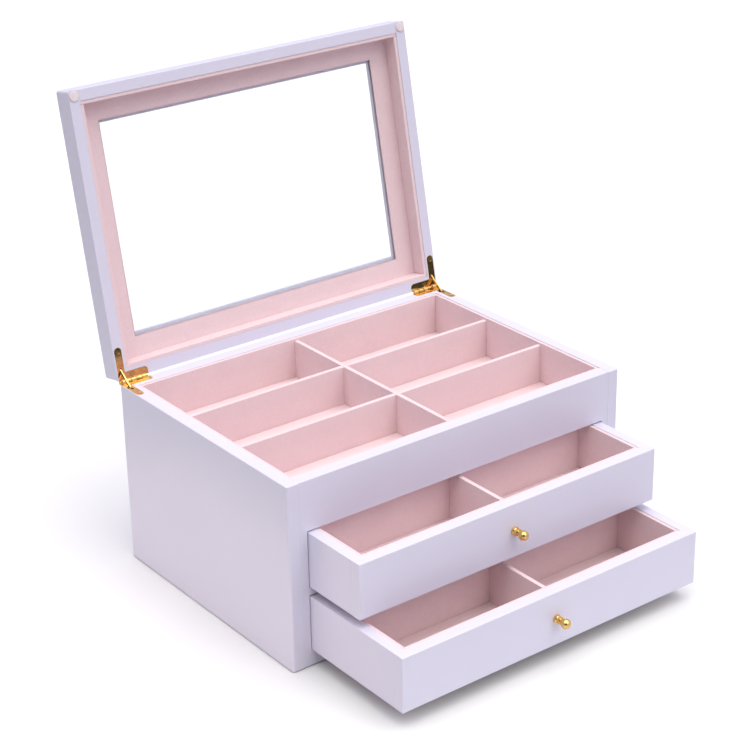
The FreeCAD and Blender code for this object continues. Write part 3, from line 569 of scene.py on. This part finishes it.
def soft_piece(name, parts, slot, body, nodes, turn=Matrix.Identity(4)):
    """One padded piece from several parts, in place of the CAD nodes named."""
    points, faces = [], []
    for part_points, part_faces in parts:
        first = len(points)
        points += [turn @ point for point in part_points]
        faces += [[first + number for number in face] for face in part_faces]
    mesh = bpy.data.meshes.new(name)
    mesh.from_pydata(points, [], faces)
    mesh.shade_smooth()
    mesh.materials.append(FINISHES[slot])
    piece = bpy.data.objects.new(name, mesh)
    bpy.context.collection.objects.link(piece)
    piece.modifiers.new("normals", "WEIGHTED_NORMAL")
    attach(piece, body)
    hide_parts(*nodes)


def eased(low, high, ends):
    """A board's box, drawn in by the joint's gap along the axes named."""
    gap = Vector(JOINT_GAP if axis in ends else 0.0 for axis in range(3))
    return low + gap, high - gap


def facing_inwards(low, high, middle):
    """Which side of an upright lining faces the middle of its space."""
    thin = thin_axis(low, high)
    return (1.0,) if middle[thin] > high[thin] else (-1.0,)


def lining_boards(boxes, middle):
    """Soft boards for upright linings, padded on the side that faces the middle of their space."""
    boards = []
    for box_low, box_high in boxes:
        size = box_high - box_low
        length = 0 if size.x > size.y else 1
        low, high = eased(box_low, box_high, (length,))
        boards.append(soft_board(low, high, BOARD_ROUND, facing_inwards(low, high, middle)))
    return boards


def floor_panels(low, high, xs, ys, radius):
    """A floor lining as one soft panel for each compartment, xs and ys being the compartments' walls."""
    parts = []
    for x0, x1 in zip(xs, xs[1:]):
        for y0, y1 in zip(ys, ys[1:]):
            panel = (Vector((x0, y0, low.z)), Vector((x1, y1, high.z)))
            parts.append(soft_board(*panel, radius, shows=(1.0,)))
    return parts


def split_across(boxes, divider):
    """Boards that cross a divider, cut in two at its faces."""
    low, high = divider
    halves = []
    for box_low, box_high in boxes:
        halves.append((box_low, Vector((low.x, box_high.y, box_high.z))))
        halves.append((Vector((high.x, box_low.y, box_low.z)), box_high))
    return halves


def line_space(name, body, floor, linings, long_divider, cross_dividers, floor_round):
    """Velvet for one divided space: its floor, its four walls and its dividers."""
    floor_low, floor_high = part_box(floor)
    middle = (floor_low + floor_high) / 2
    long_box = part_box(long_divider)
    cross_boxes = [box for node in cross_dividers for box in solids(node)]
    xs = [floor_low.x, middle.x, floor_high.x]
    ys = sorted([floor_low.y, floor_high.y] + [(low.y + high.y) / 2 for low, high in cross_boxes])
    panels = floor_panels(floor_low, floor_high, xs, ys, floor_round)
    soft_piece(f"{name}_floor_velvet", panels, "pink_velvet", body, [floor])

    wall_boxes = [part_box(node) for node in linings] if len(linings) > 1 else four_walls(linings[0])
    soft_piece(f"{name}_wall_velvet", lining_boards(wall_boxes, middle), "pink_velvet", body, linings)

    soft_piece(f"{name}_long_divider_velvet", [soft_board(*eased(*long_box, (1,)), BOARD_ROUND)],
               "pink_velvet", body, [long_divider])
    halves = split_across(cross_boxes, long_box)
    soft_piece(f"{name}_cross_divider_velvet",
               [soft_board(*eased(*half, (0,)), BOARD_ROUND) for half in halves],
               "pink_velvet", body, cross_dividers)


def line_tray():
    """The velvet of the tray under the lid."""
    linings = [f"tray_{side}_lining" for side in ("front", "back", "left", "right")]
    line_space("tray", "case", "tray_floor_lining", linings, "tray_long_divider",
               ["tray_front_cross_divider", "tray_back_cross_divider"], TRAY_FLOOR_ROUND)


def line_drawer(name):
    """The velvet of one drawer, upper or lower."""
    drawer = f"{name}_drawer"
    line_space(drawer, drawer, f"{drawer}_floor_lining", [f"{drawer}_wall_linings"],
               f"{drawer}_long_divider", [f"{drawer}_cross_dividers"], BOARD_ROUND)


def line_lid():
    """The lid's velvet: four wall boards and a flat frame around the window."""
    turn = lid_turn()
    glass_low, glass_high = solids("lid_glass", turn)[0]
    middle = (glass_low + glass_high) / 2
    boards = lining_boards(four_walls("lid_wall_linings", turn), middle)
    soft_piece("lid_wall_velvet", boards, "pink_velvet", "lid", ["lid_wall_linings"], turn)

    mat_low, mat_high = solids("lid_lining_mat", turn)[0]
    lap = Vector((GLASS_LAP_ACROSS, GLASS_LAP_DEEP, 0.0))
    mat = ring_board(mat_low, mat_high, glass_low + lap, glass_high - lap, BOARD_ROUND, -1.0)
    soft_piece("lid_mat_velvet", [mat], "pink_velvet", "lid", ["lid_lining_mat"], turn)


def felt_disc(low, high):
    """Points and faces of a round felt dot with a soft rim and a fuzzy outline."""
    centre = (low + high) / 2
    radius = (high.x - low.x) / 2
    height = high.z - low.z
    points = [Vector((centre.x, centre.y, high.z - height * DOT_TOP))]
    for share, rise in DOT_RINGS:
        for step in range(DOT_AROUND):
            angle = 2 * math.pi * step / DOT_AROUND
            outwards = Vector((math.cos(angle), math.sin(angle), 0.0))
            fuzz = 1.0 + DOT_FUZZ * noise.noise((outwards + Vector((0.0, 0.0, share))) * 4.0)
            point = centre + outwards * radius * share * fuzz
            point.z = high.z - height * rise
            points.append(point)
    faces = [[0, 1 + (step + 1) % DOT_AROUND, 1 + step] for step in range(DOT_AROUND)]
    for ring in range(len(DOT_RINGS) - 1):
        first = 1 + ring * DOT_AROUND
        below = first + DOT_AROUND
        for step in range(DOT_AROUND):
            after = (step + 1) % DOT_AROUND
            faces.append([first + step, first + after, below + after, below + step])
    last = 1 + (len(DOT_RINGS) - 1) * DOT_AROUND
    faces.append([last + step for step in range(DOT_AROUND)])
    return points, faces


def dot_lid():
    """The two felt dots that the lid closes on."""
    turn = lid_turn()
    dots = [felt_disc(low, high) for low, high in solids("lid_bumpers", turn)]
    soft_piece("lid_bumper_felt", dots, "pink_felt", "lid", ["lid_bumpers"], turn)


def felt_base():
    """The sheet of felt under the case."""
    low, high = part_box("base_felt")
    soft_piece("base_felt_sheet", [soft_board(low, high, BOARD_ROUND, shows=())],
               "pale_felt", "case", ["base_felt"])


# ---------------------------------------------------------------- studio and camera

def flat_sheet(name, half, height, material, unseen_by):
    """A square sheet at a height, which the kinds of rays named pass through."""
    corners = [(-half, -half, height), (half, -half, height), (half, half, height), (-half, half, height)]
    mesh = bpy.data.meshes.new(name)
    mesh.from_pydata(corners, [], [(0, 1, 2, 3)])
    mesh.materials.append(material)
    sheet = bpy.data.objects.new(name, mesh)
    bpy.context.collection.objects.link(sheet)
    for rays in unseen_by:
        setattr(sheet, f"visible_{rays}", False)


def add_floor():
    """A wide white floor that only the camera sees, over a table top that throws light at the box and
    whose tone is a painted pool of light and a painted dark room.
    """
    flat_sheet("studio_floor", SHEET_HALF, 0.0, studio_floor(), ("diffuse", "glossy", "shadow"))
    flat_sheet("painted_light_table", SHEET_HALF, -TABLE_DROP, painted_light_table(), ("camera", "transmission"))


def add_sky():
    """Soft light from all round, brightest overhead, with the dark room behind the camera."""
    world = bpy.data.worlds.new("studio")
    world.use_nodes = True
    tree = world.node_tree
    direction = add_node(tree, "ShaderNodeTexCoord").outputs["Generated"]
    to_softbox = along(tree, direction, Vector(SOFTBOX_WAY).normalized())
    to_bright_side = between(tree, along(tree, direction, DIM_WAY), 0.0, 1.0, -1.0, 1.0)
    to_camera = along(tree, direction, Vector(CAMERA_AT).normalized())
    glow = product(tree, colours_by(tree, to_softbox, *SKY_STOPS),
                   colours_by(tree, to_bright_side, *DIM_STOPS))
    room = colours_by(tree, to_camera, *ROOM_STOPS)
    background = tree.nodes["Background"]
    tree.links.new(product(tree, glow, room), background.inputs["Color"])
    background.inputs["Strength"].default_value = SKY_STRENGTH
    bpy.context.scene.world = world


def add_low_lamp():
    """A faint warm lamp close to the ground that lifts the foot of the case's left wall."""
    light = bpy.data.lights.new("low_left", "AREA")
    light.shape = "RECTANGLE"
    light.size = LOW_LAMP_WIDTH
    light.size_y = LOW_LAMP_HEIGHT
    light.energy = LOW_LAMP_WATTS
    light.color = LOW_LAMP_COLOUR
    lamp = bpy.data.objects.new("low_left", light)
    lamp.location = LOW_LAMP_AT
    lamp.visible_camera = False
    way = Vector(LOW_LAMP_TARGET) - Vector(LOW_LAMP_AT)
    lamp.rotation_euler = way.to_track_quat("-Z", "Y").to_euler()
    bpy.context.collection.objects.link(lamp)


def add_camera():
    """The camera: its axes follow from its azimuth, elevation and roll."""
    azimuth, elevation, roll = (math.radians(angle)
                                for angle in (CAMERA_AZIMUTH, CAMERA_ELEVATION, CAMERA_ROLL))
    right = Vector((math.cos(azimuth), math.sin(azimuth), 0.0))
    back = Vector((math.sin(azimuth) * math.cos(elevation), -math.cos(azimuth) * math.cos(elevation),
                   math.sin(elevation)))
    up = back.cross(right)
    turned_right = math.cos(roll) * right + math.sin(roll) * up
    turned_up = math.cos(roll) * up - math.sin(roll) * right
    data = bpy.data.cameras.new("camera")
    data.lens = CAMERA_LENS
    data.sensor_width = CAMERA_SENSOR
    data.clip_start = CAMERA_NEAR
    camera = bpy.data.objects.new("camera", data)
    axes = Matrix((turned_right, turned_up, back)).transposed().to_4x4()
    camera.matrix_world = Matrix.Translation(CAMERA_AT) @ axes
    bpy.context.collection.objects.link(camera)
    bpy.context.scene.camera = camera


finish_cad_nodes()
line_tray()
for drawer_name in DRAWERS:
    line_drawer(drawer_name)
line_lid()
dot_lid()
felt_base()

add_floor()
add_sky()
add_low_lamp()
add_camera()
bpy.context.scene.view_settings.view_transform = "Standard"
